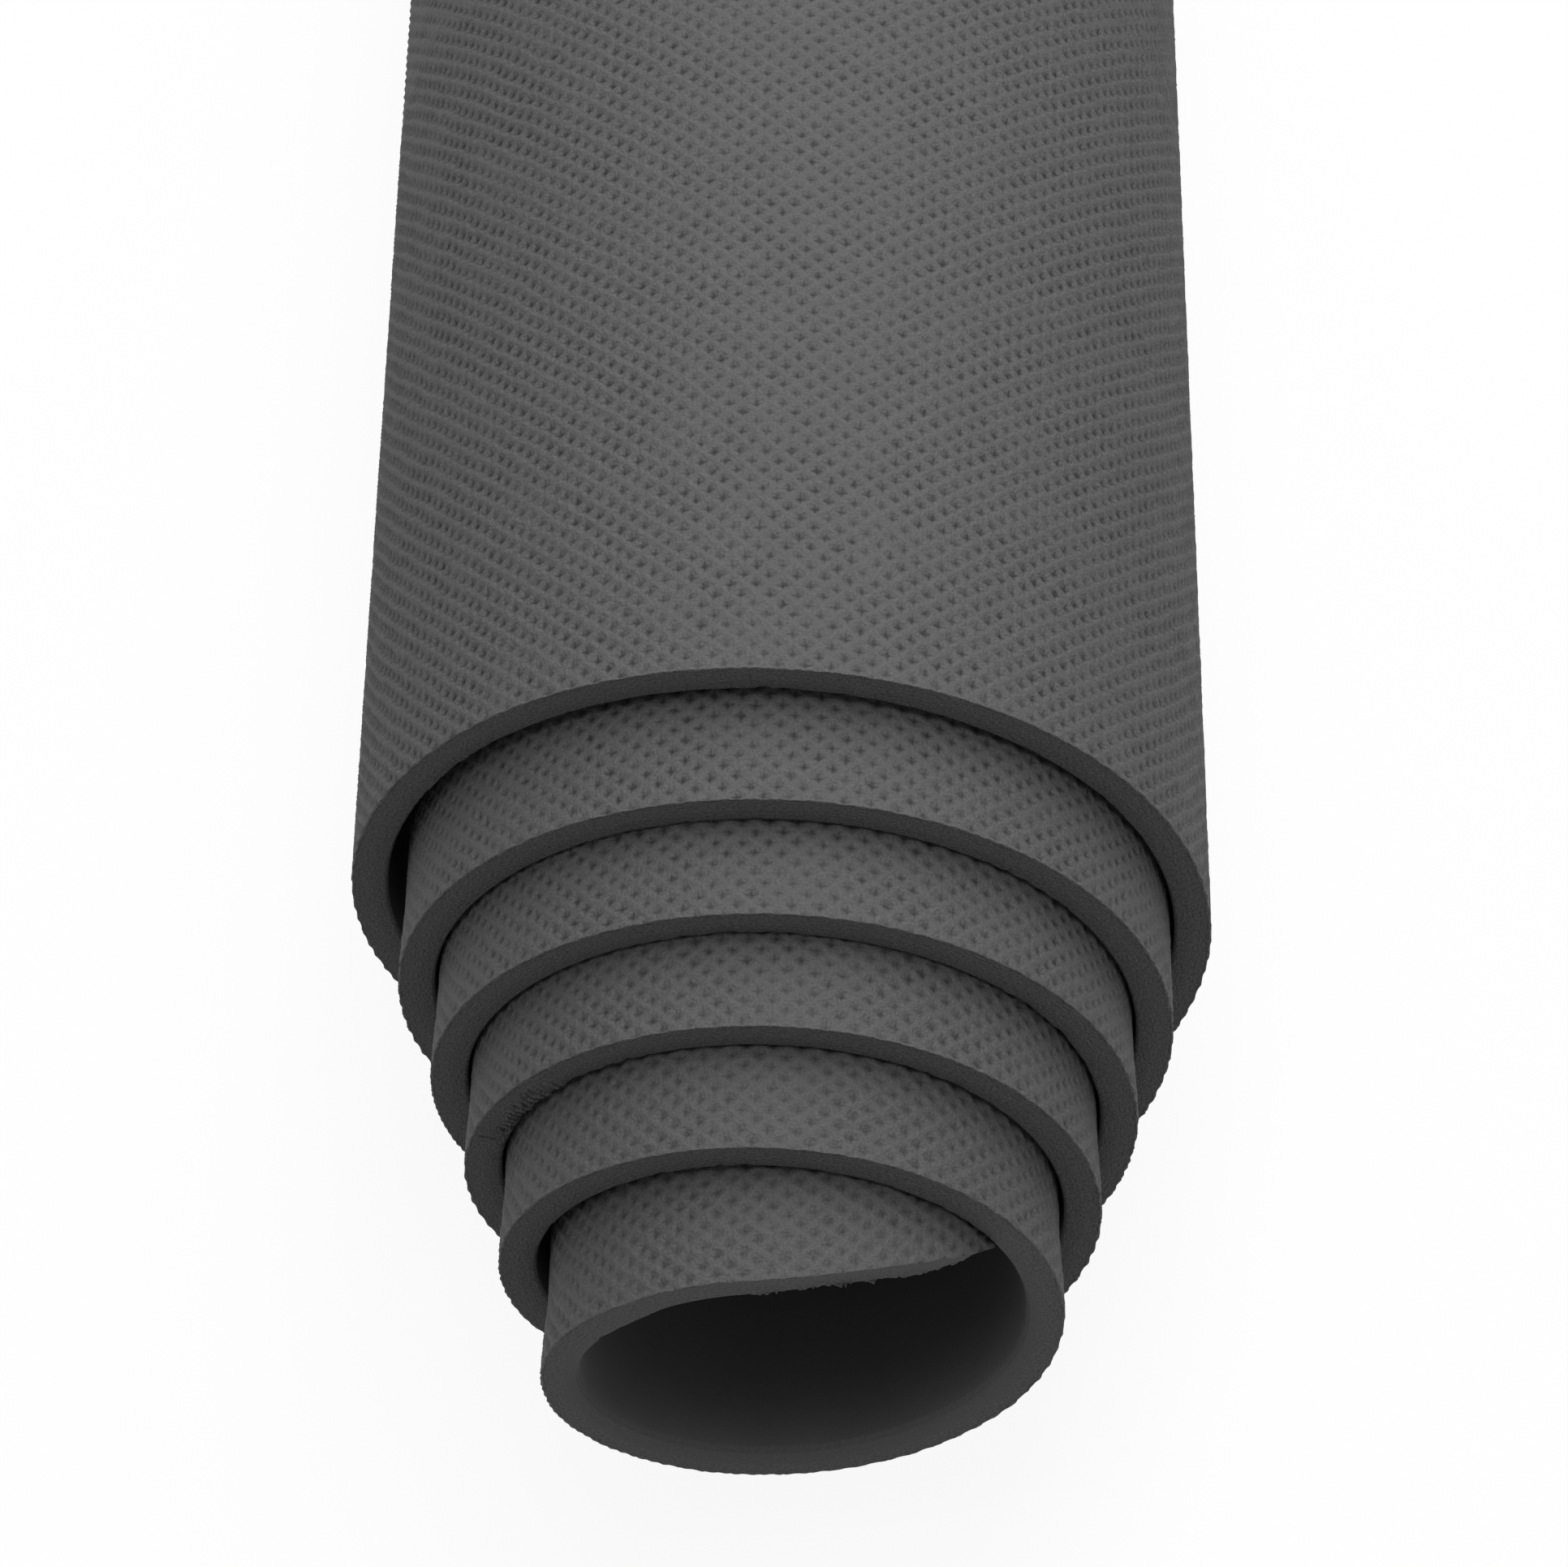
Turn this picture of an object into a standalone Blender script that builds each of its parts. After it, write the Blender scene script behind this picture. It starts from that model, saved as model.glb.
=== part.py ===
# A foam exercise mat rolled up loosely, lying on its side.
# It is one long sheet of three bonded layers: an embossed skin, a foam core and a smooth skin.
# The roll's axis runs along Y, and each inner turn stands out of the near end, towards -Y.
# Lengths are in metres and angles in radians.

import math

import bmesh
import bpy

# The sheet, as it would lie flat
MAT_LENGTH = 1.83
MAT_WIDTH = 0.61
TOP_SKIN = 0.0007  # embossed, on the face turned outward
FOAM_CORE = 0.0042
BACK_SKIN = 0.0005  # smooth, on the face turned inward
BOND_GAP = 0.0003  # clearance drawn between two bonded layers
TURN_GAP = 0.00025  # clearance between one turn and the next

# The winding, from the free end in the middle outward
BORE_RADIUS = 0.0319  # of the smooth face, at the free end
FREE_END_ANGLE = math.radians(25)  # above +X, seen from the near end
STATIONS_PER_TURN = 60
FULL_TURN = math.tau

# Each turn has slipped along the axis against the one round it, more so near both ends of the sheet
SLIP_PER_TURN = 0.0167
EXTRA_SLIP = 0.00029
EVEN_SLIP_TURN = 2.9  # turns from the free end

# The middle of the innermost turn sags away from its neighbour
SAG = 0.0012
SAG_CENTRE = 0.092
SAG_REACH = 0.08

# The free end's near corner has drawn back into the bore
CORNER_DRAWBACK = 0.0264
CORNER_LENGTH = 0.056

# The last of the sheet springs off the roll
TAIL_LIFT = 0.0033
TAIL_LENGTH = 0.4
TAIL_CURVE_SHARE = 1.5

FLAT_DEPTH = 0.0005  # how far the roll's own weight presses its underside flat
SHARP_ANGLE = math.radians(30)


def clamped(value):
    return min(max(value, 0.0), 1.0)


def eased(share):
    return share * share * (3.0 - 2.0 * share)


def sheet_thickness():
    return TOP_SKIN + FOAM_CORE + BACK_SKIN + 2 * BOND_GAP


def outer_radius(turns, wound):
    """Radius of the embossed face, after so many turns and so much wound length."""
    pitch = sheet_thickness() + TURN_GAP
    sag = SAG * eased(clamped(1.0 - abs(wound - SAG_CENTRE) / SAG_REACH))
    tail = clamped((wound - (MAT_LENGTH - TAIL_LENGTH)) / TAIL_LENGTH)
    return BORE_RADIUS + sheet_thickness() + pitch * turns - sag + TAIL_LIFT * tail**TAIL_CURVE_SHARE


def near_edge(turns, wound):
    """Place of the sheet's near edge along the axis."""
    corner = clamped(1.0 - wound / CORNER_LENGTH)
    slip = SLIP_PER_TURN * turns + EXTRA_SLIP * (turns - EVEN_SLIP_TURN) ** 3
    return slip + CORNER_DRAWBACK * corner**2


def wind_sheet():
    """Stations (angle, outer radius, near edge) from the free end until the sheet's length is used up."""
    stations = []
    turns = 0.0
    wound = 0.0
    step = 1.0 / STATIONS_PER_TURN
    while True:
        radius = outer_radius(turns, wound)
        stations.append((FREE_END_ANGLE + FULL_TURN * turns, radius, near_edge(turns, wound)))
        length_per_turn = FULL_TURN * (radius - sheet_thickness() / 2)
        left = (MAT_LENGTH - wound) / length_per_turn
        if left <= 0.0:
            return stations
        advance = step if left > step else left
        turns += advance
        wound = MAT_LENGTH if advance == left else wound + advance * length_per_turn


def section(station, outer_depth, inner_depth):
    """The four corners of one layer at a station, both depths measured in from the embossed face."""
    angle, radius, near = station
    corners = []
    for depth, along in (
        (outer_depth, near),
        (outer_depth, near + MAT_WIDTH),
        (inner_depth, near + MAT_WIDTH),
        (inner_depth, near),
    ):
        reach = radius - depth
        corners.append((reach * math.cos(angle), along, reach * math.sin(angle)))
    return corners


def layer_mesh(name, stations, outer_depth, inner_depth, floor=None):
    """One layer: its end section drawn out from station to station, and cut flat at the floor if it meets it."""
    bm = bmesh.new()
    first = [bm.verts.new(corner) for corner in section(stations[0], outer_depth, inner_depth)]
    edges = [bm.edges.new((a, b)) for a, b in zip(first, first[1:] + first[:1])]
    bm.faces.new(first)
    followers = first
    for station in stations[1:]:
        made = bmesh.ops.extrude_edge_only(bm, edges=edges)["geom"]
        new_edges = [item for item in made if isinstance(item, bmesh.types.BMEdge)]
        new_verts = {item for item in made if isinstance(item, bmesh.types.BMVert)}
        followers = [next(e.other_vert(v) for e in v.link_edges if e.other_vert(v) in new_verts) for v in followers]
        for vert, corner in zip(followers, section(station, outer_depth, inner_depth)):
            vert.co = corner
        edges = [edge for edge in new_edges if all(vert in new_verts for vert in edge.verts)]
    bm.faces.new(followers)
    if floor is not None:
        cut_flat(bm, floor)
    bmesh.ops.recalc_face_normals(bm, faces=bm.faces)
    mesh = bpy.data.meshes.new(name)
    bm.to_mesh(mesh)
    bm.free()
    mesh.shade_smooth()
    mesh.set_sharp_from_angle(angle=SHARP_ANGLE)
    return mesh


def cut_flat(bm, floor):
    """Takes off what reaches below the floor and closes the cut."""
    everything = bm.verts[:] + bm.edges[:] + bm.faces[:]
    cut = bmesh.ops.bisect_plane(bm, geom=everything, plane_co=(0, 0, floor), plane_no=(0, 0, -1), clear_outer=True)
    rim = [item for item in cut["geom_cut"] if isinstance(item, bmesh.types.BMEdge)]
    bmesh.ops.holes_fill(bm, edges=rim)


def layer_material(name, colour, roughness):
    material = bpy.data.materials.new(name)
    material.use_nodes = True
    shader = material.node_tree.nodes["Principled BSDF"]
    shader.inputs["Base Color"].default_value = (*colour, 1.0)
    shader.inputs["Roughness"].default_value = roughness
    shader.inputs["Metallic"].default_value = 0.0
    return material


def add_layer(name, mesh, material, axis):
    mesh.materials.append(material)
    layer = bpy.data.objects.new(name, mesh)
    bpy.context.scene.collection.objects.link(layer)
    layer.parent = axis
    return layer


def add_roll_axis(stations, floor):
    """An empty on the roll's axis, placed so that the world's origin lies under the middle of the roll's box."""
    across = [radius * math.cos(angle) for angle, radius, _ in stations]
    along = [near for _, _, near in stations]
    axis = bpy.data.objects.new("roll_axis", None)
    axis.location = (
        -(min(across) + max(across)) / 2,
        -(min(along) + max(along) + MAT_WIDTH) / 2,
        -floor,
    )
    bpy.context.scene.collection.objects.link(axis)
    return axis


def build_mat():
    for old in list(bpy.data.objects):
        bpy.data.objects.remove(old, do_unlink=True)
    stations = wind_sheet()
    floor = min(radius * math.sin(angle) for angle, radius, _ in stations) + FLAT_DEPTH
    axis = add_roll_axis(stations, floor)

    core_top = TOP_SKIN + BOND_GAP
    core_bottom = core_top + FOAM_CORE
    back_top = core_bottom + BOND_GAP
    add_layer(
        "embossed_top_skin",
        layer_mesh("embossed_top_skin", stations, 0, TOP_SKIN, floor),
        layer_material("embossed_foam_skin", (0.10, 0.10, 0.10), 0.75),
        axis,
    )
    add_layer(
        "foam_core",
        layer_mesh("foam_core", stations, core_top, core_bottom),
        layer_material("cut_closed_cell_foam", (0.04, 0.04, 0.04), 0.95),
        axis,
    )
    add_layer(
        "smooth_back_skin",
        layer_mesh("smooth_back_skin", stations, back_top, back_top + BACK_SKIN),
        layer_material("smooth_foam_skin", (0.05, 0.05, 0.05), 0.8),
        axis,
    )


build_mat()
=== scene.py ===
import math

import bmesh
import bpy
import numpy as np
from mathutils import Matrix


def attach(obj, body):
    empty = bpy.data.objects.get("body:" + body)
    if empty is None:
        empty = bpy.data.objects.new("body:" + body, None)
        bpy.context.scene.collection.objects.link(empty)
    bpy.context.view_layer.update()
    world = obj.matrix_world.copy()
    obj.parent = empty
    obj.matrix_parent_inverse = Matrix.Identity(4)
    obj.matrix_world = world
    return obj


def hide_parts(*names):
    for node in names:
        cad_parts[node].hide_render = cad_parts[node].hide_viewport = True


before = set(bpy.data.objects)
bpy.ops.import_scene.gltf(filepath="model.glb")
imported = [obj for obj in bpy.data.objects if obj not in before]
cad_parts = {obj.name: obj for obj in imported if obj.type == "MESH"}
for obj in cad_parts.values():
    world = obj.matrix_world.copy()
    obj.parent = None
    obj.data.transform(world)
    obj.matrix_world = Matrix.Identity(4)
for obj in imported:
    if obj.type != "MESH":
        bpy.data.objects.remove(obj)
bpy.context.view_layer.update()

# The mat is one long sheet in three bonded layers, wound from its free end in the middle outward.
# While it is flat, a point of the sheet has three coordinates in metres: along, from the free end; across,
# from the near edge; and height, which is 0 on the embossed face and minus the depth under it.
# A pair of numbers named From, Until or Span is a ramp: it starts at the first and is full at the second.
sheet = {
    "length": 1.83,
    "width": 0.61,
    "thickness": 0.006,
    "turnGap": 0.00025,
    "boreRadius": 0.0319,
    "freeEndAngle": math.radians(25),
    "stationsPerTurn": 60,
    "slipPerTurn": 0.0167,
    "extraSlip": 0.00029,
    "evenSlipTurn": 2.9,
    "sag": 0.0012,  # of the innermost turn, away from its neighbour
    "sagCentre": 0.092,
    "sagReach": 0.08,
    "cornerDrawback": 0.0264,  # of the free end's near corner, into the bore
    "cornerLength": 0.056,
    "tailLift": 0.0033,  # of the last of the sheet, off the roll
    "tailLength": 0.4,
    "tailCurve": 1.5,
    "flatDepth": 0.0005,  # how far the roll's own weight presses its underside
    "skew": math.tan(math.radians(2.4)),  # it went onto the roll a little askew, so the embossing leans
    "skewFade": 0.15,
    # Each turn is a little wider at its near edge than inside the turn round it, on the left and the right
    "flareAlong": (0.0, 0.2, 0.3, 1.03, 1.10, 1.22, 1.29, 1.36, 1.43),
    "flare": (0.0008, 0.0008, 0.0005, 0.0005, 0.0, 0.0, 0.0005, 0.0005, 0.0),
    "flareReach": 0.016,
}
columns, rows = 450, 157  # repeats of the embossing along the sheet and across it
repeatAlong = sheet["length"] / columns  # 4.07 mm
repeatAcross = sheet["width"] / rows  # 3.89 mm
tiny = 0.00002  # two places closer than this count as one
mmInMetre = 1000
knotCount = 512  # of the noise, each way, before it repeats


def clamped(value):
    return np.clip(value, 0.0, 1.0)


def ramp(value, start, full):  # rises from 0 to 1, also where the start is the larger number
    return clamped((value - start) / (full - start))


def eased(share):
    return share * share * (3.0 - 2.0 * share)


def softNoise(u, v, seed):  # smooth bumps from -1 to 1, one to each unit of u and v
    knots = np.random.default_rng(seed).uniform(-1.0, 1.0, (knotCount, knotCount))
    column, row = np.floor(u).astype(int), np.floor(v).astype(int)
    fu, fv = eased(u - column), eased(v - row)
    left, right = column % knotCount, (column + 1) % knotCount
    low, high = row % knotCount, (row + 1) % knotCount
    near = knots[left, low] * (1 - fu) + knots[right, low] * fu
    far = knots[left, high] * (1 - fu) + knots[right, high] * fu
    return near * (1 - fv) + far * fv


def sizedNoise(u, v, size, seed):
    return softNoise(u / size[0], v / size[1], seed)


def windSheet():
    found = []
    turns = wound = 0.0
    step = 1.0 / sheet["stationsPerTurn"]
    pitch = sheet["thickness"] + sheet["turnGap"]
    while True:
        sag = sheet["sag"] * eased(clamped(1.0 - abs(wound - sheet["sagCentre"]) / sheet["sagReach"]))
        tail = clamped((wound - (sheet["length"] - sheet["tailLength"])) / sheet["tailLength"])
        lift = sheet["tailLift"] * tail ** sheet["tailCurve"]
        radius = sheet["boreRadius"] + sheet["thickness"] + pitch * turns - sag + lift
        slip = sheet["slipPerTurn"] * turns + sheet["extraSlip"] * (turns - sheet["evenSlipTurn"]) ** 3
        corner = sheet["cornerDrawback"] * clamped(1.0 - wound / sheet["cornerLength"]) ** 2
        found.append((wound, sheet["freeEndAngle"] + math.tau * turns, radius, slip + corner))
        perTurn = math.tau * (radius - sheet["thickness"] / 2)
        left = (sheet["length"] - wound) / perTurn
        if left <= 0.0:
            return np.array(found).T
        advance = min(step, left)
        turns += advance
        wound = sheet["length"] if advance == left else wound + advance * perTurn


stationWound, stationAngle, stationRadius, stationNear = windSheet()
stationAcross = stationRadius * np.cos(stationAngle)
floorHeight = (stationRadius * np.sin(stationAngle)).min() + sheet["flatDepth"]
axisPlace = (
    -(stationAcross.min() + stationAcross.max()) / 2,
    -(stationNear.min() + stationNear.max() + sheet["width"]) / 2,
    -floorHeight,
)
print("winding: %.2f turns, outer end at %.0f degrees" % (
    (stationAngle[-1] - stationAngle[0]) / math.tau, math.degrees(stationAngle[-1]) % 360))


def placeOnRoll(along, across, height):
    fade = eased(clamped(np.minimum(along, sheet["length"] - along) / sheet["skewFade"]))
    wound = along - sheet["skew"] * across * fade
    angle = np.interp(wound, stationWound, stationAngle)
    reach = np.interp(wound, stationWound, stationRadius) + height
    narrowed = np.interp(wound, sheet["flareAlong"], sheet["flare"]) * np.cos(angle) ** 2
    reach = reach - narrowed * eased(clamped(across / sheet["flareReach"]))
    x = axisPlace[0] + reach * np.cos(angle)
    y = axisPlace[1] + np.interp(wound, stationWound, stationNear) + across
    z = axisPlace[2] + reach * np.sin(angle)
    return x, y, z


# The embossing is two families of ridges that cross at right angles, each at 45 degrees to the edges.
# Between them lie pits, each with four slanting faces that meet in creases along and across the sheet, so it
# looks like a star.
embossing = {
    "ridgeTop": 0.00020,
    "pitDepth": 0.00070,
    "pitReach": 0.00235,
    "pitCurve": 1.2,
    "starPower": 0.86,
    "middleRise": 0.00006,
    "middleReach": 0.00032,
    "turned": math.tan(math.radians(0.5)),  # the pattern against the sheet's long edges
    "wander": 0.1,  # of a repeat
    "wanderSize": (0.0037, 0.0035),
    "unevenness": 0.32,
    "unevenSize": (0.0042, 0.0042),
    "lumps": 0.00007,
    "lumpSize": (0.0012, 0.0010),
    "edgeShare": 0.75,  # of the relief is left where the blade has pressed it
    "edgeReach": 0.0016,
    "innerShare": 1.25,  # of the relief is there where the sheet is bent tightest
    "innerUntil": 0.5,  # of the length
    "mostShare": 1.42,  # of the relief, which keeps the deepest pit within the skin
    "leftPressed": 0.15,  # of the relief is pressed out on the left of the inner turns
    "leftSpan": (0.45, 0.90),  # of the way from the roll's middle to its left side
    "leftUntil": (1.4, 1.3),  # along the sheet
    "restHeight": 0.00005,  # of the relief that the roll lies on, which is pressed flat
    "restChange": 0.00004,
    "restSize": (0.002, 0.002),
    "innerShadeAndCreases": 0.5,  # of the painted pit shade, and of the creases' bump, is there at the free end
    "shadeAndCreasesUntil": 0.6,  # of the length
    "unshadedLength": 0.45,  # up to the outer end, where the skin has no painted shade
}


def ridgePhases(along, across):
    u = along / repeatAlong
    v = (across + embossing["turned"] * along) / repeatAcross
    first = u + v + embossing["wander"] * sizedNoise(along, across, embossing["wanderSize"], seed=3)
    second = u - v + embossing["wander"] * sizedNoise(along, across, embossing["wanderSize"], seed=4)
    return first, second


def reliefShare(along, across):
    # How much of the relief is there: it is uneven, more where the sheet is bent tight, and less at its edges
    inner, edge = embossing["innerShare"], embossing["edgeShare"]
    share = inner + (1.0 - inner) * clamped(along / (embossing["innerUntil"] * sheet["length"]))
    fromEdge = np.minimum(across, sheet["width"] - across)
    share = share * (edge + (1.0 - edge) * eased(clamped(fromEdge / embossing["edgeReach"])))
    leftward = -np.cos(np.interp(along, stationWound, stationAngle))
    pressed = eased(ramp(leftward, *embossing["leftSpan"])) * ramp(along, *embossing["leftUntil"])
    share = share * (1.0 - embossing["leftPressed"] * pressed)
    uneven = embossing["unevenness"] * sizedNoise(along, across, embossing["unevenSize"], seed=5)
    return np.minimum(share * (1.0 + uneven), embossing["mostShare"])


def embossedHeight(along, across):
    first, second = ridgePhases(along, across)
    p, q = first - np.round(first), second - np.round(second)
    power = embossing["starPower"]
    fromPit = (np.abs(p + q) / 2 * repeatAlong) ** power + (np.abs(p - q) / 2 * repeatAcross) ** power
    fromPit = fromPit ** (1 / power)
    pit = clamped(1.0 - fromPit / embossing["pitReach"]) ** embossing["pitCurve"]
    middle = np.exp(-((fromPit / embossing["middleReach"]) ** 2))
    drop = embossing["pitDepth"] * pit - embossing["middleRise"] * middle
    lumps = embossing["lumps"] * sizedNoise(along, across, embossing["lumpSize"], seed=6)
    return embossing["ridgeTop"] - reliefShare(along, across) * drop + lumps


# The cut edges aren't quite straight. They are rounded and nicked towards the bore, and the near edge is torn
# beside the free end
cutEdge = {
    "wave": 0.00022,
    "waveLength": 0.045,
    "chatter": 0.00004,
    "chatterSize": (0.0025, 0.0012),
    "drawnReach": 0.009,  # across the sheet, over which the unevenness of its edge dies out
    "roundAlong": (0.07, 0.10, 0.20, 0.26),
    "innerRound": (0.0003, 0.0025, 0.0025, 0.0009),
    "roundShare": 0.98,  # of a full quarter round
    "crispFrom": (0.045, 0.080),  # along the sheet, past the torn part
    "nickDepth": 0.00039,
    "nickSize": (0.0013, 0.003),
    "nickGroups": 0.02,
    "nickRarity": 0.35,
    "nickSpan": (0.0045, 0.0060),  # of depth
    "nickRoundSpan": (0.0014, 0.0010),  # there are none where the edge is rounded more
    "slantAlong": (0.0, 0.015, 0.021, 0.027, 0.036, 0.045, 0.050, 0.063, 0.072, 0.080),
    "slantBack": (0.0, 0.0002, 0.0007, 0.0012, 0.0016, 0.0014, 0.0010, 0.0009, 0.0003, 0.0),
    "hollowAlong": (0.038, 0.045, 0.050, 0.054, 0.060, 0.066),
    "hollowBack": (0.0, 0.0004, 0.0009, 0.0008, 0.0005, 0.0),
    "tornUntil": (0.052, 0.042),  # along the sheet
    "tornSpan": (0.004, 0.006),  # of depth
    "tornOut": 0.00022,
    "raggedBits": ((0.0011, 2.0, 13), (0.00045, 1.3, 18)),  # length, strength and the seed of its noise
    # Place, length, and how far each reaches before and after its tip
    "slivers": (
        (0.0255, 0.0007, 0.0003, 0.0010), (0.0306, 0.0010, 0.0003, 0.0003), (0.0313, 0.0008, 0.0004, 0.0016),
        (0.0361, 0.0004, 0.0003, 0.0003), (0.0423, 0.0003, 0.0004, 0.0003), (0.0437, 0.0004, 0.0003, 0.0007),
    ),
    "sliverSpan": (0.0054, 0.0059),  # of depth
    "litEdgeFrom": (0.016, 0.0),  # across the sheet, where the smooth skin is painted paler, a painted pool of light near the bore's opening
}
# On the left of the third turn from the middle the cut face has one short crease, and wrinkles before it
crease = {
    "along": 0.6334,
    "lean": 0.25,
    "straightDepth": 0.009,
    "halfWidth": 0.00032,
    "depth": 0.00065,
    "topSpan": (0.0010, 0.0014),
    "bottomSpan": (0.0052, 0.0044),
}
wrinkles = {
    "from": (0.6090, 0.6150),
    "until": (0.6335, 0.6305),
    "apart": 0.0014,
    "depth": 0.00052,
    "inwardSpan": (0.0004, 0.0060),
    "strength": 0.8,
    "strengthChange": 0.5,
    "strengthSize": (0.0019, 0.0012),
    "shift": 0.45,
    "shiftSize": (0.0017, 0.0012),
}


def roundedBack(along, depth):
    # The inner side of the edge is rounded off, and where it is only a little rounded it is nicked as well
    rounded = np.interp(along, cutEdge["roundAlong"], cutEdge["innerRound"])
    turned = clamped((depth - (sheet["thickness"] - rounded)) / rounded)
    back = rounded * (1.0 - np.sqrt(1.0 - turned * turned * cutEdge["roundShare"]))
    nick = sizedNoise(along, depth, cutEdge["nickSize"], seed=16)
    nick = nick + softNoise(along / cutEdge["nickGroups"], 0.0, seed=17) - cutEdge["nickRarity"]
    nick = np.maximum(nick, 0.0) * eased(ramp(depth, *cutEdge["nickSpan"]))
    nick = nick * ramp(rounded, *cutEdge["nickRoundSpan"])
    return eased(ramp(along, *cutEdge["crispFrom"])) * (back + cutEdge["nickDepth"] * nick)


def tornOut(along, depth):
    # Near the free end the smooth skin was torn, not cut, so it stands out in a ragged rim with a few slivers
    torn = eased(ramp(along, *cutEdge["tornUntil"])) * ramp(depth, *cutEdge["tornSpan"])
    ragged = 1.0
    for length, strength, seed in cutEdge["raggedBits"]:
        ragged = ragged + strength * np.maximum(softNoise(along / length, 0.0, seed), 0.0)
    out = cutEdge["tornOut"] * torn * ragged
    for place, length, before, after in cutEdge["slivers"]:
        tip = clamped(1.0 - np.where(along < place, (place - along) / before, (along - place) / after))
        out = out + length * tip * eased(ramp(depth, *cutEdge["sliverSpan"]))
    return out


def creasedBack(along, depth):
    bend = (depth - crease["topSpan"][0]) * (1 - depth / crease["straightDepth"])
    line = crease["along"] + crease["lean"] * bend
    groove = clamped(1.0 - np.abs(along - line) / crease["halfWidth"])
    return crease["depth"] * groove * ramp(depth, *crease["topSpan"]) * ramp(depth, *crease["bottomSpan"])


def wrinkledBack(along, depth):
    shift = wrinkles["shift"] * sizedNoise(along, depth, wrinkles["shiftSize"], seed=15)
    ripple = np.cos(math.tau * (along / wrinkles["apart"] + shift))
    change = wrinkles["strengthChange"] * sizedNoise(along, depth, wrinkles["strengthSize"], seed=14)
    there = ramp(along, *wrinkles["from"]) * ramp(along, *wrinkles["until"])
    there = there * eased(ramp(depth, *wrinkles["inwardSpan"]))
    return wrinkles["depth"] * there * (wrinkles["strength"] + change) * ripple


def cutDrawback(along, depth):  # how far back the near cut face lies from a straight edge
    back = cutEdge["wave"] * softNoise(along / cutEdge["waveLength"], 0.5, seed=11)
    back = back + cutEdge["chatter"] * sizedNoise(along, depth, cutEdge["chatterSize"], seed=12)
    slant = np.interp(along, cutEdge["slantAlong"], cutEdge["slantBack"])
    back = back + clamped(depth / sheet["thickness"]) * slant
    back = back + np.interp(along, cutEdge["hollowAlong"], cutEdge["hollowBack"])
    back = back + roundedBack(along, depth) - tornOut(along, depth)
    return back + creasedBack(along, depth) + wrinkledBack(along, depth)


def flatLayer(acrossCount, top, bottom):
    # A flat slab of one layer: a grid, extruded down by its thickness
    bm = bmesh.new()
    bmesh.ops.create_grid(bm, x_segments=columns, y_segments=acrossCount, size=0.5)
    bmesh.ops.scale(bm, vec=(sheet["length"], sheet["width"], 1.0), verts=bm.verts)
    bmesh.ops.translate(bm, vec=(sheet["length"] / 2, sheet["width"] / 2, top), verts=bm.verts)
    everything = bm.faces[:] + bm.edges[:] + bm.verts[:]
    made = bmesh.ops.extrude_face_region(bm, geom=everything, use_keep_orig=True)
    lower = [item for item in made["geom"] if isinstance(item, bmesh.types.BMVert)]
    bmesh.ops.translate(bm, vec=(0.0, 0.0, bottom - top), verts=lower)
    bmesh.ops.recalc_face_normals(bm, faces=bm.faces)
    return bm


def refine(bm, cuts, wanted):  # cuts up the edges whose two ends are both wanted
    edges = [edge for edge in bm.edges if wanted(edge.verts[0].co) and wanted(edge.verts[1].co)]
    bmesh.ops.subdivide_edges(bm, edges=edges, cuts=cuts, use_grid_fill=True)


def readValues(items, name, perItem=1, kind=np.float64):
    values = np.empty(len(items) * perItem, dtype=kind)
    items.foreach_get(name, values)
    return values.reshape(-1, perItem) if perItem > 1 else values


def addPointValues(mesh, name, values):
    mesh.attributes.new(name, "FLOAT", "POINT").data.foreach_set("value", values.astype(np.float32))


def sharpEdges(mesh, along, across, height, top, bottom):
    # An edge is sharp where two sides of the slab meet, apart from the rounded lower lip of the bore
    onTop, onBottom = height > top - tiny, height < bottom + tiny
    onNear, onFar = across < tiny, across > sheet["width"] - tiny
    onFree, onOuter = along < tiny, along > sheet["length"] - tiny
    rims = [a & b for a in (onTop, onBottom) for b in (onNear, onFar, onFree, onOuter)]
    rims += [a & b for a in (onNear, onFar) for b in (onFree, onOuter)]
    ends = readValues(mesh.edges, "vertices", 2, np.int32)
    sharp = np.zeros(len(ends), dtype=bool)
    for rim in rims:
        sharp |= rim[ends].all(axis=1)
    if bottom < -sheet["thickness"] + tiny:
        lip = onBottom & onNear & (along > cutEdge["roundAlong"][0]) & (along < cutEdge["roundAlong"][-1])
        sharp &= ~lip[ends].all(axis=1)
    return sharp


def mapSheet(mesh, along, across, height, isCut, embossed):
    # In mm: along and down through the sheet on a cut face, along and across it on the others. The map of the
    # embossed face counts ridges instead
    corner = readValues(mesh.loops, "vertex_index", kind=np.int32)
    cutCorner = np.repeat(isCut, readValues(mesh.polygons, "loop_total", kind=np.int32))
    onEnd = (along < tiny) | (along > sheet["length"] - tiny)
    cutU, cutV = np.where(onEnd, across, along) * mmInMetre, -height * mmInMetre
    skinU, skinV = ridgePhases(along, across) if embossed else (along * mmInMetre, across * mmInMetre)
    u = np.where(cutCorner, cutU[corner], skinU[corner])
    v = np.where(cutCorner, cutV[corner], skinV[corner])
    layer = mesh.uv_layers.new(name="sheetMap")
    layer.uv.foreach_set("vector", np.stack([u, v], -1).ravel().astype(np.float32))


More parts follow.
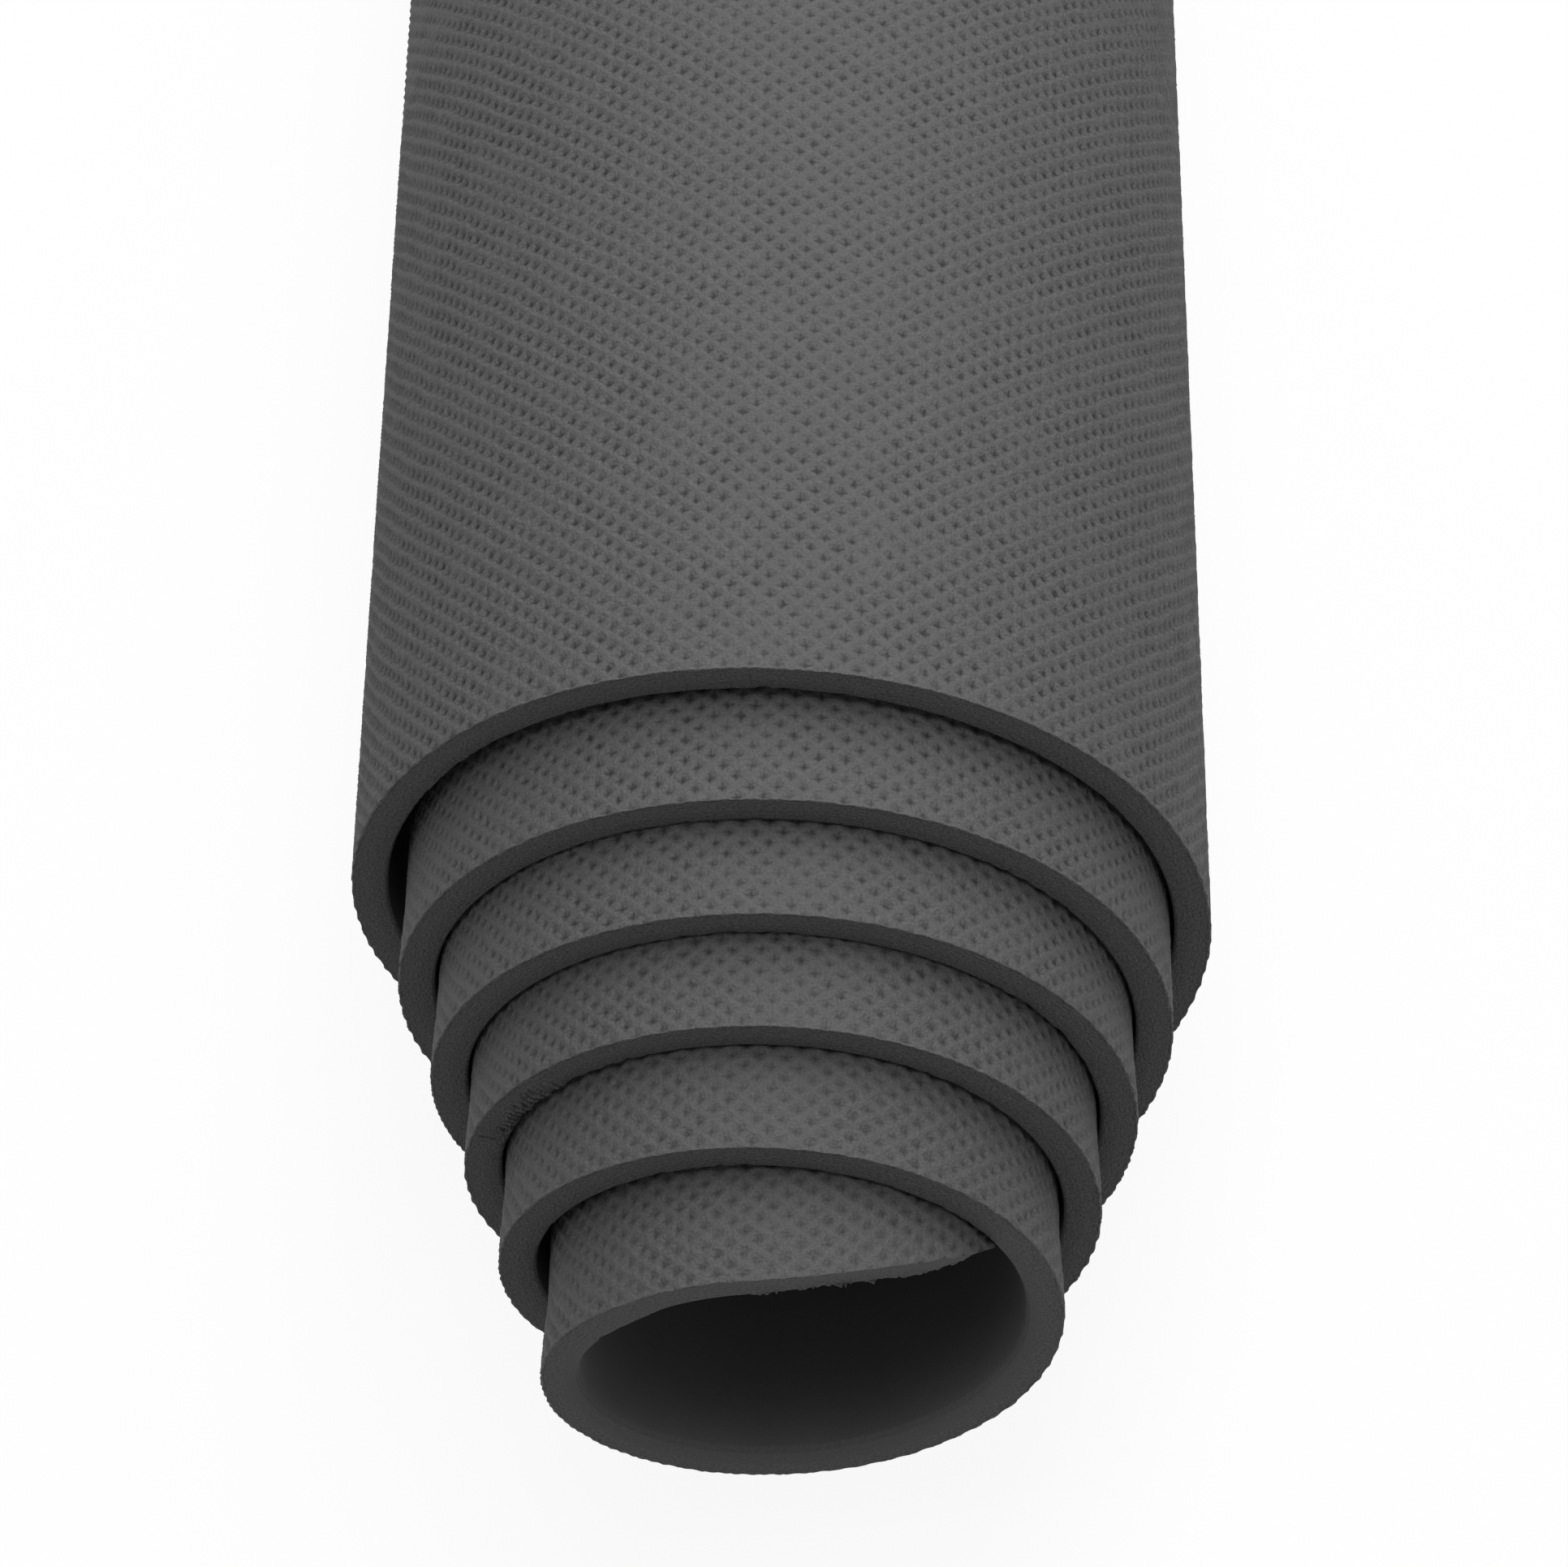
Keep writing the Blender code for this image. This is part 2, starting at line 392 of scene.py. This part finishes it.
def windLayer(name, bm, top, bottom, materials, embossed=False):
    # Moves each point of the flat layer to its place on the roll
    mesh = bpy.data.meshes.new(name)
    bm.to_mesh(mesh)
    bm.free()
    for material in materials:
        mesh.materials.append(material)
    along, across, height = readValues(mesh.vertices, "co", 3).T.copy()
    onTop = height > top - tiny
    sharp = sharpEdges(mesh, along, across, height, top, bottom)
    # Which way each face looked while flat tells the cut faces from the skin
    isCut = np.abs(readValues(mesh.polygons, "normal", 3)[:, 2]) < 0.5
    mesh.polygons.foreach_set("material_index", isCut.astype(np.int32))
    mapSheet(mesh, along, across, height, isCut, embossed)

    shifted = across + cutDrawback(along, -height) * clamped(1.0 - across / cutEdge["drawnReach"])
    lifted = height + (embossedHeight(along, across) * onTop if embossed else 0.0)
    x, y, z = placeOnRoll(along, shifted, lifted)
    if embossed:
        rest = embossing["restChange"] * sizedNoise(x, y, embossing["restSize"], seed=21)
        z = np.where(onTop, np.maximum(z, embossing["restHeight"] + rest), z)
        # The share of the painted shade in the pits and of the creases' bump, stored in the relief attribute
        innerShadeAndCreases = embossing["innerShadeAndCreases"]
        shadeAndCreaseShare = innerShadeAndCreases + (1.0 - innerShadeAndCreases) * clamped(along / (embossing["shadeAndCreasesUntil"] * sheet["length"]))
        addPointValues(mesh, "relief", reliefShare(along, across) * shadeAndCreaseShare * onTop)
        # How much painted shade the skin gets: most at the free end, none on the outer turn
        shadedLength = sheet["length"] - embossing["unshadedLength"]
        addPointValues(mesh, "innerShadeShare", clamped(1.0 - along / shadedLength))
    else:
        # How much painted light the smooth skin gets, near its near edge
        addPointValues(mesh, "nearness", eased(ramp(across, *cutEdge["litEdgeFrom"])))
    mesh.vertices.foreach_set("co", np.stack([x, y, z], -1).ravel())
    mesh.shade_smooth()
    mesh.attributes.new("sharp_edge", "BOOLEAN", "EDGE").data.foreach_set("value", sharp)
    mesh.update()

    piece = bpy.data.objects.new(name, mesh)
    bpy.context.scene.collection.objects.link(piece)
    print("%s: %d faces" % (name, len(mesh.polygons)))
    return piece


def linearColour(hexText):
    parts = [int(hexText[i : i + 2], 16) / 255 for i in (1, 3, 5)]
    return (*[p / 12.92 if p <= 0.04045 else ((p + 0.055) / 1.055) ** 2.4 for p in parts], 1.0)


def addNode(tree, kind, inputs=None, **settings):
    node = tree.nodes.new(kind)
    for name, value in settings.items():
        setattr(node, name, value)
    for key, value in (inputs or {}).items():
        if isinstance(value, bpy.types.Node):
            value = value.outputs[0]
        if isinstance(value, bpy.types.NodeSocket):
            tree.links.new(value, node.inputs[key])
        else:
            node.inputs[key].default_value = value
    return node


def newMaterial(name):
    material = bpy.data.materials.new(name)
    material.use_nodes = True
    return material, material.node_tree, material.node_tree.nodes["Principled BSDF"]


# What one noise texture mostly lies between, and two that are added, as inputs of a Map Range node
noiseSpan = {1: 0.3, 2: 0.7}
twoNoisesSpan = {1: 0.7, 2: 1.3}

# In the looks below, a bump's depth is in metres

# Pressed foam skin: a matt, faintly waxy grey with a crumbly grain, creased in each pit, with painted shade
# darkening each pit along its creases. The grain is drawn coarser than real, so that it shows
pressedSkinLook = {
    "colour": "#595959",
    "pitShadeAndCrease": "#2c2c2c",
    "roughness": 0.68,
    "grainSize": 0.5,  # mm
    "grainDepth": 0.00030,
    "grainContrast": 0.24,
    "creasePower": 0.8,
    "creaseReach": 1.3,  # mm
    "creaseDepth": 0.00020,
    "raggedSize": 0.8,  # mm
    "raggedness": 1.4,
    "mottle": 0.02,
    "mottleSize": 9.0,  # mm
    "innerTurnsShadedTo": 0.87,  # of the brightness is left at the free end: painted shade on the inner turns, which lie in the shade of the turns round them
}


def pressedSkin():
    look = pressedSkinLook
    material, tree, shader = newMaterial("pressedFoamSkin")
    place = addNode(tree, "ShaderNodeTexCoord").outputs["Object"]

    # Distance in mm from the middle of the nearest pit, much as in the shape
    phases = addNode(tree, "ShaderNodeSeparateXYZ", {0: addNode(tree, "ShaderNodeUVMap", uv_map="sheetMap")})
    p, q = [
        addNode(tree, "ShaderNodeMath", {0: phases.outputs[axis], 1: 0.5, 2: -0.5}, operation="WRAP")
        for axis in ("X", "Y")
    ]
    arms = []
    for operation, repeat in (("ADD", repeatAlong), ("SUBTRACT", repeatAcross)):
        apart = addNode(tree, "ShaderNodeMath", {0: p, 1: q}, operation=operation)
        apart = addNode(tree, "ShaderNodeMath", {0: apart}, operation="ABSOLUTE")
        apart = addNode(tree, "ShaderNodeMath", {0: apart, 1: mmInMetre * repeat / 2}, operation="MULTIPLY")
        arms.append(addNode(tree, "ShaderNodeMath", {0: apart, 1: look["creasePower"]}, operation="POWER"))
    fromPit = addNode(tree, "ShaderNodeMath", {0: arms[0], 1: arms[1]}, operation="ADD")
    fromPit = addNode(tree, "ShaderNodeMath", {0: fromPit, 1: 1 / look["creasePower"]}, operation="POWER")
    ragged = addNode(tree, "ShaderNodeTexNoise", {
        "Vector": place, "Scale": mmInMetre / look["raggedSize"], "Detail": 2.0})
    fromPit = addNode(
        tree, "ShaderNodeMath", {0: ragged, 1: look["raggedness"], 2: fromPit}, operation="MULTIPLY_ADD")
    fromPit = addNode(tree, "ShaderNodeMath", {0: fromPit, 1: look["raggedness"] / 2}, operation="SUBTRACT")
    # Painted shade: the skin is darkened towards the middle of each pit and along its creases, scaled by the
    # relief attribute; the same mask also gives the creases' bump
    pitShadeAndCrease = addNode(tree, "ShaderNodeMapRange", {0: fromPit, 1: 0.0, 2: look["creaseReach"], 3: 1.0, 4: 0.0})
    relief = addNode(tree, "ShaderNodeAttribute", attribute_name="relief").outputs["Fac"]
    pitShadeAndCrease = addNode(tree, "ShaderNodeMath", {0: pitShadeAndCrease, 1: relief}, operation="MULTIPLY")
    pitShaded = addNode(tree, "ShaderNodeMix", {
        0: pitShadeAndCrease, 6: linearColour(look["colour"]), 7: linearColour(look["pitShadeAndCrease"])}, data_type="RGBA")

    grain = addNode(tree, "ShaderNodeTexNoise", {
        "Vector": place, "Scale": mmInMetre / look["grainSize"], "Detail": 3.0, "Roughness": 0.6})
    mottle = addNode(tree, "ShaderNodeTexNoise", {
        "Vector": place, "Scale": mmInMetre / look["mottleSize"], "Detail": 3.0})
    bright = addNode(tree, "ShaderNodeMapRange", {
        0: mottle, **noiseSpan, 3: 1 - look["mottle"], 4: 1 + look["mottle"]})
    crumbs = addNode(tree, "ShaderNodeMapRange", {
        0: grain, **noiseSpan, 3: 1 - look["grainContrast"], 4: 1 + look["grainContrast"]})
    bright = addNode(tree, "ShaderNodeMath", {0: bright, 1: crumbs}, operation="MULTIPLY")
    # Painted shade: the inner turns are darkened, as they lie in the shade of the turns round them
    innerShadeShare = addNode(tree, "ShaderNodeAttribute", attribute_name="innerShadeShare").outputs["Fac"]
    innerTurnShade = addNode(
        tree, "ShaderNodeMapRange", {0: innerShadeShare, 1: 0.0, 2: 1.0, 3: 1.0, 4: look["innerTurnsShadedTo"]})
    bright = addNode(tree, "ShaderNodeMath", {0: bright, 1: innerTurnShade}, operation="MULTIPLY")
    coloured = addNode(
        tree, "ShaderNodeVectorMath", {0: pitShaded.outputs[2], 1: bright}, operation="MULTIPLY")
    tree.links.new(coloured.outputs[0], shader.inputs["Base Color"])
    shader.inputs["Roughness"].default_value = look["roughness"]

    creases = addNode(tree, "ShaderNodeMath", {0: pitShadeAndCrease, 1: -look["creaseDepth"]}, operation="MULTIPLY")
    height = addNode(
        tree, "ShaderNodeMath", {0: grain, 1: look["grainDepth"], 2: creases}, operation="MULTIPLY_ADD")
    bump = addNode(tree, "ShaderNodeBump", {"Height": height, "Distance": 1.0})
    tree.links.new(bump.outputs[0], shader.inputs["Normal"])
    return material


# Cut closed-cell foam: dull, with the drag lines that the blade leaves. The embossed skin shows at its rim as
# a thin torn line, and a paler line is painted along the inner edge, a painted highlight where the edge
# rounds over. The cells are drawn coarser than real, so that they show. Lengths along the cut and down
# through the sheet are in mm
cutFoamLook = {
    "colour": "#636363",
    # The paler rim colour, also used for the painted highlight along the inner edge
    "rim": "#707070",
    "skinLine": "#464646",
    "rimDepth": 0.22,
    "rimFade": 0.06,
    "lineDepth": 0.42,
    "lineFade": 0.14,
    "waveSize": (1.8, 2.5),
    "waviness": 0.7,
    "patchPlace": (40.0, 9.0, 0.0),
    "patchSize": 3.5,
    "patchSpan": (0.42, 0.62),
    "patchShare": 0.9,
    "innerHighlightSpan": (5.72, 5.9),
    "innerHighlightShare": 0.55,
    "roughness": 0.95,
    "cellSize": 0.42,
    "cellDepth": 0.00032,
    "dragLength": 0.8,
    "contrast": 0.42,
    "rubbedTone": 0.90,  # a little darker than the rest, which lies at 1
    "rubbedShare": 0.75,
    "rubbedSpan": (2.2, 4.0),
    "rubbedFrom": (60.0, 95.0),
    "rubbedUntil": (260.0, 215.0),
    "ribApart": 0.5,
    "ribLength": 3.0,
    "ribDepth": 0.00060,
    "ribSpan": (3.2, 5.6),
    "ribsFrom": (260.0, 320.0),
}


def cutFoam():
    look = cutFoamLook
    material, tree, shader = newMaterial("cutClosedCellFoam")
    uv = addNode(tree, "ShaderNodeUVMap", uv_map="sheetMap")
    place = addNode(tree, "ShaderNodeSeparateXYZ", {0: uv})
    along, depth = place.outputs["X"], place.outputs["Y"]

    # Cells, drawn out by the blade. On the rounded lower lip of the bore they are rubbed smooth
    drawn = addNode(
        tree, "ShaderNodeMapping", {0: uv, 3: (1 / look["dragLength"], 1 / look["cellSize"], 1.0)})
    drag = addNode(
        tree, "ShaderNodeTexNoise", {"Vector": drawn, "Scale": 1.0, "Detail": 3.0, "Roughness": 0.6})
    cells = addNode(tree, "ShaderNodeTexNoise", {"Vector": uv, "Scale": 1 / look["cellSize"], "Detail": 2.0})
    both = addNode(tree, "ShaderNodeMath", {0: drag, 1: cells}, operation="ADD")
    start, full = look["rubbedSpan"]
    rubbed = addNode(
        tree, "ShaderNodeMapRange", {0: depth, 1: start, 2: full, 3: 0.0, 4: look["rubbedShare"]})
    for start, full in (look["rubbedFrom"], look["rubbedUntil"]):
        side = addNode(tree, "ShaderNodeMapRange", {0: along, 1: start, 2: full, 3: 0.0, 4: 1.0})
        rubbed = addNode(tree, "ShaderNodeMath", {0: rubbed, 1: side}, operation="MULTIPLY")
    both = addNode(tree, "ShaderNodeMix", {0: rubbed, 2: both, 3: look["rubbedTone"]}, data_type="FLOAT")
    bright = addNode(tree, "ShaderNodeMapRange", {
        0: both, **twoNoisesSpan, 3: 1 - look["contrast"], 4: 1 + look["contrast"]})

    # The embossed skin's torn line, in patches, with a paler rim outside it
    waveAlong, waveDown = look["waveSize"]
    waves = addNode(tree, "ShaderNodeMapping", {0: uv, 3: (1 / waveAlong, 1 / waveDown, 1.0)})
    waves = addNode(tree, "ShaderNodeTexNoise", {"Vector": waves, "Scale": 1.0, "Detail": 2.0})
    wavy = addNode(
        tree, "ShaderNodeMath", {0: waves, 1: look["waviness"], 2: depth}, operation="MULTIPLY_ADD")
    wavy = addNode(tree, "ShaderNodeMath", {0: wavy, 1: look["waviness"] / 2}, operation="SUBTRACT")
    torn = addNode(tree, "ShaderNodeMapRange", {
        0: wavy, 1: look["rimDepth"], 2: look["rimDepth"] + look["rimFade"], 3: 0.0, 4: 1.0,
    }, interpolation_type="SMOOTHSTEP")
    within = addNode(tree, "ShaderNodeMapRange", {
        0: wavy, 1: look["lineDepth"], 2: look["lineDepth"] + look["lineFade"], 3: 1.0, 4: 0.0,
    }, interpolation_type="SMOOTHSTEP")
    perPatch = 1 / look["patchSize"]
    patches = addNode(tree, "ShaderNodeMapping", {0: uv, 1: look["patchPlace"], 3: (perPatch, perPatch, 1.0)})
    patches = addNode(tree, "ShaderNodeTexNoise", {"Vector": patches, "Scale": 1.0, "Detail": 1.0})
    start, full = look["patchSpan"]
    patches = addNode(
        tree, "ShaderNodeMapRange", {0: patches, 1: start, 2: full, 3: 0.0, 4: look["patchShare"]})
    line = addNode(tree, "ShaderNodeMath", {0: torn, 1: within}, operation="MULTIPLY")
    line = addNode(tree, "ShaderNodeMath", {0: line, 1: patches}, operation="MULTIPLY")
    # A painted highlight: the rim's paler colour along the inner edge of the cut, where it rounds over
    # towards the bore
    start, full = look["innerHighlightSpan"]
    innerHighlight = addNode(
        tree, "ShaderNodeMapRange", {0: depth, 1: start, 2: full, 3: 0.0, 4: look["innerHighlightShare"]})
    outerRim = addNode(tree, "ShaderNodeMath", {0: 1.0, 1: torn}, operation="SUBTRACT")
    rim = addNode(tree, "ShaderNodeMath", {0: outerRim, 1: innerHighlight}, operation="MAXIMUM")
    foam = addNode(tree, "ShaderNodeMix", {
        0: rim, 6: linearColour(look["colour"]), 7: linearColour(look["rim"])}, data_type="RGBA")
    foam = addNode(tree, "ShaderNodeMix", {
        0: line, 6: foam.outputs[2], 7: linearColour(look["skinLine"])}, data_type="RGBA")
    coloured = addNode(tree, "ShaderNodeVectorMath", {0: foam.outputs[2], 1: bright}, operation="MULTIPLY")
    tree.links.new(coloured.outputs[0], shader.inputs["Base Color"])
    shader.inputs["Roughness"].default_value = look["roughness"]

    # Short ribs down the inner half of the cut, on all but the innermost turns
    ribs = addNode(
        tree, "ShaderNodeMapping", {0: uv, 3: (1 / look["ribApart"], 1 / look["ribLength"], 1.0)})
    ribs = addNode(tree, "ShaderNodeTexNoise", {"Vector": ribs, "Scale": 1.0, "Detail": 1.0})
    start, full = look["ribSpan"]
    inward = addNode(tree, "ShaderNodeMapRange", {0: depth, 1: start, 2: full, 3: 0.0, 4: look["ribDepth"]})
    ribs = addNode(tree, "ShaderNodeMath", {0: ribs, 1: inward}, operation="MULTIPLY")
    start, full = look["ribsFrom"]
    outward = addNode(tree, "ShaderNodeMapRange", {0: along, 1: start, 2: full, 3: 0.0, 4: 1.0})
    ribs = addNode(tree, "ShaderNodeMath", {0: ribs, 1: outward}, operation="MULTIPLY")
    height = addNode(
        tree, "ShaderNodeMath", {0: both, 1: look["cellDepth"], 2: ribs}, operation="MULTIPLY_ADD")
    bump = addNode(tree, "ShaderNodeBump", {"Height": height, "Distance": 1.0})
    tree.links.new(bump.outputs[0], shader.inputs["Normal"])
    return material


# Smooth foam skin, calendered flat: an even, soft dark grey, painted paler along the near edge as painted
# light falling into the bore's opening. Its faint grain is drawn coarser than real
smoothSkinLook = {
    "colour": "#525252",
    "litNearEdgeColour": "#5f5f5f",
    "roughness": 0.7,
    "grainSize": 0.5,  # mm
    "grainDepth": 0.00001,
    "cloudSize": 14.0,  # mm
    "contrast": 0.08,
}


def smoothSkin():
    look = smoothSkinLook
    material, tree, shader = newMaterial("smoothFoamSkin")
    place = addNode(tree, "ShaderNodeTexCoord").outputs["Object"]
    grain = addNode(tree, "ShaderNodeTexNoise", {
        "Vector": place, "Scale": mmInMetre / look["grainSize"], "Detail": 3.0})
    cloud = addNode(tree, "ShaderNodeTexNoise", {
        "Vector": place, "Scale": mmInMetre / look["cloudSize"], "Detail": 2.0})
    both = addNode(tree, "ShaderNodeMath", {0: grain, 1: cloud}, operation="ADD")
    bright = addNode(tree, "ShaderNodeMapRange", {
        0: both, **twoNoisesSpan, 3: 1 - look["contrast"], 4: 1 + look["contrast"]})
    nearness = addNode(tree, "ShaderNodeAttribute", attribute_name="nearness").outputs["Fac"]
    # Painted light: the smooth skin is paler near the near edge, where light falls into the bore
    litNearEdge = addNode(tree, "ShaderNodeMix", {
        0: nearness, 6: linearColour(look["colour"]), 7: linearColour(look["litNearEdgeColour"])}, data_type="RGBA")
    coloured = addNode(tree, "ShaderNodeVectorMath", {0: litNearEdge.outputs[2], 1: bright}, operation="MULTIPLY")
    tree.links.new(coloured.outputs[0], shader.inputs["Base Color"])
    shader.inputs["Roughness"].default_value = look["roughness"]
    height = addNode(tree, "ShaderNodeMath", {0: grain, 1: look["grainDepth"]}, operation="MULTIPLY")
    bump = addNode(tree, "ShaderNodeBump", {"Height": height, "Distance": 1.0})
    tree.links.new(bump.outputs[0], shader.inputs["Normal"])
    return material


# Heights of the layers' faces. Each layer lies 0.01 mm from the next, and the embossed skin is thick enough
# for its deepest pit
layers = {"skinBottom": -0.00098, "coreTop": -0.00099, "coreBottom": -0.00549, "backTop": -0.0055}

# How finely the layers are cut up, mostly counted in repeats of the embossing
fineness = {
    "nearRepeats": 7,  # from the near edge, where every turn's relief is seen
    "closeRepeats": 42,  # from the near edge, where the outer turn's relief is seen closest
    "outerTurn": 0.478,  # metres of the sheet that lie outside the roll, about
    "upperAngles": (357, 180),  # degrees round the roll, from the right over the top to the left
    "tableSteps": 8,  # in a repeat, of the table of what is turned up
    "plainRows": 39,  # enough for the layers that show no relief
    # From and to, along the sheet
    "freeEnd": (0, 15),
    "tornRim": (5, 12),
    "wrinkled": (150, 157),
}
nearBand = fineness["nearRepeats"] * repeatAcross + tiny
closeView = fineness["closeRepeats"] * repeatAcross + tiny
outerTurn = sheet["length"] - fineness["outerTurn"]
firstRow = sheet["width"] / fineness["plainRows"] + tiny


def turnedUp(wound):  # whether that part of the sheet lies in the upper half of the roll
    angle = np.degrees(np.interp(wound, stationWound, stationAngle)) % 360
    right, left = fineness["upperAngles"]
    return (angle < left) | (angle > right)


tableSteps = fineness["tableSteps"]
upperTable = turnedUp(np.arange(columns * tableSteps + 1) * repeatAlong / tableSteps)


def isUpper(co):
    return upperTable[min(max(int(co.x / repeatAlong * tableSteps + 0.5), 0), len(upperTable) - 1)]


def isWithin(co, repeats):
    return repeats[0] * repeatAlong - tiny < co.x < repeats[1] * repeatAlong + tiny


def makeTopSkin(pressed, cut):  # finest where its relief is seen closest, and plain where a turn covers it
    bm = flatLayer(rows, 0.0, layers["skinBottom"])
    refine(bm, 3, lambda co: co.y < tiny or (co.z > -tiny and (co.y < nearBand or co.x > outerTurn)))
    refine(bm, 1, lambda co: co.y < tiny or (co.z > -tiny and (co.y < repeatAcross + tiny or (
        isUpper(co) and (co.y < nearBand or (co.x > outerTurn and co.y < closeView))))))
    return windLayer("embossedTopSkin", bm, 0.0, layers["skinBottom"], (pressed, cut), embossed=True)


def makeFoamCore(cut):
    bm = flatLayer(fineness["plainRows"], layers["coreTop"], layers["coreBottom"])
    refine(bm, 3, lambda co: co.y < firstRow or co.y > sheet["width"] - tiny)
    refine(bm, 1, lambda co: co.y < tiny and isWithin(co, fineness["freeEnd"]))
    refine(bm, 7, lambda co: co.y < tiny and isWithin(co, fineness["wrinkled"]))
    return windLayer("foamCore", bm, layers["coreTop"], layers["coreBottom"], (cut, cut))


def makeBackSkin(smooth, cut):
    bm = flatLayer(fineness["plainRows"], layers["backTop"], -sheet["thickness"])
    refine(bm, 3, lambda co: co.y < firstRow)
    refine(bm, 1, lambda co: co.y < tiny and isWithin(co, fineness["freeEnd"]))
    refine(bm, 3, lambda co: co.y < tiny and (
        isWithin(co, fineness["tornRim"]) or isWithin(co, fineness["wrinkled"])))
    return windLayer("smoothBackSkin", bm, layers["backTop"], -sheet["thickness"], (smooth, cut))


pressed, cut, smooth = pressedSkin(), cutFoam(), smoothSkin()
print("materials:", pressed.name, cut.name, smooth.name)
topSkin, foamCore, backSkin = makeTopSkin(pressed, cut), makeFoamCore(cut), makeBackSkin(smooth, cut)

for piece, node, slot in (
    (topSkin, "embossed_top_skin", "embossed_skin"),
    (foamCore, "foam_core", "foam"),
    (backSkin, "smooth_back_skin", "smooth_skin"),
):
    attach(piece, "root")
    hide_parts(node)


# A white sweep under a long soft lamp overhead, with even light all round
stage = {
    "floorColour": "#fafafa",
    "floorUnseen": "#aaaaaa",
    "floorShows": 0.92,  # share of the floor that shows as plain white, the rest keeps the shadow
    "floorHalf": 6.0,
    "floorDrop": 0.0001,
    "worldLevel": 0.30,
    "lampPower": 39.0,
    "lampSize": (0.9, 3.2),
    "lampPlace": (0.14, 0.55, 1.7),
}


def whiteSweep():  # plain matt board, which shows as white and takes a soft shadow
    material, tree, shader = newMaterial("whiteSweep")
    shader.inputs["Roughness"].default_value = 1.0
    shader.inputs["Specular IOR Level"].default_value = 0.0
    path = addNode(tree, "ShaderNodeLightPath").outputs
    seen = addNode(
        tree, "ShaderNodeMath", {0: path["Is Camera Ray"], 1: path["Is Glossy Ray"]}, operation="MAXIMUM")
    seen = addNode(tree, "ShaderNodeMath", {0: seen, 1: path["Is Transmission Ray"]}, operation="MAXIMUM")
    board = addNode(tree, "ShaderNodeMix", {
        0: seen, 6: linearColour(stage["floorUnseen"]), 7: linearColour(stage["floorColour"]),
    }, data_type="RGBA")
    tree.links.new(board.outputs[2], shader.inputs["Base Color"])
    share = addNode(tree, "ShaderNodeMath", {0: seen, 1: stage["floorShows"]}, operation="MULTIPLY")
    white = addNode(tree, "ShaderNodeEmission", {"Color": (1.0, 1.0, 1.0, 1.0), "Strength": 1.0})
    mixed = addNode(tree, "ShaderNodeMixShader", {0: share, 1: shader, 2: white})
    tree.links.new(mixed.outputs[0], tree.nodes["Material Output"].inputs["Surface"])
    return material


def makeFloor():
    bm = bmesh.new()
    bmesh.ops.create_grid(bm, x_segments=1, y_segments=1, size=stage["floorHalf"])
    bmesh.ops.translate(bm, vec=(0.0, 0.0, -stage["floorDrop"]), verts=bm.verts)
    mesh = bpy.data.meshes.new("studioFloor")
    bm.to_mesh(mesh)
    bm.free()
    mesh.materials.append(whiteSweep())
    floor = bpy.data.objects.new("studioFloor", mesh)
    bpy.context.scene.collection.objects.link(floor)


def makeLight():
    world = bpy.data.worlds.new("evenStudioLight")
    bpy.context.scene.world = world
    world.use_nodes = True
    tree = world.node_tree
    path = addNode(tree, "ShaderNodeLightPath").outputs
    level = addNode(tree, "ShaderNodeMapRange", {
        0: path["Is Camera Ray"], 1: 0.0, 2: 1.0, 3: stage["worldLevel"], 4: 1.0})
    tree.links.new(level.outputs[0], tree.nodes["Background"].inputs["Strength"])
    tree.nodes["Background"].inputs["Color"].default_value = (1.0, 1.0, 1.0, 1.0)

    lamp = bpy.data.lights.new("softLampOverhead", "AREA")
    lamp.shape = "RECTANGLE"
    lamp.size, lamp.size_y = stage["lampSize"]
    lamp.energy = stage["lampPower"]
    holder = bpy.data.objects.new("softLampOverhead", lamp)
    holder.location = stage["lampPlace"]
    holder.rotation_euler = (-holder.location).to_track_quat("-Z", "Y").to_euler()
    bpy.context.scene.collection.objects.link(holder)


# The photograph's camera: high above the near end, looking down along the roll
view = {"place": (0.00606, -0.7662, 0.8283), "tilt": 34.88, "turn": 0.60, "lens": 124.97, "sensor": 36.0}


def makeCamera():
    lens = bpy.data.cameras.new("photoCamera")
    lens.lens = view["lens"]
    lens.sensor_width = view["sensor"]
    camera = bpy.data.objects.new("photoCamera", lens)
    camera.location = view["place"]
    camera.rotation_euler = (math.radians(view["tilt"]), 0.0, math.radians(view["turn"]))
    bpy.context.scene.collection.objects.link(camera)
    bpy.context.scene.camera = camera
    bpy.context.scene.view_settings.view_transform = "Standard"


makeFloor()
makeLight()
makeCamera()
print("stage: floor, light and camera")
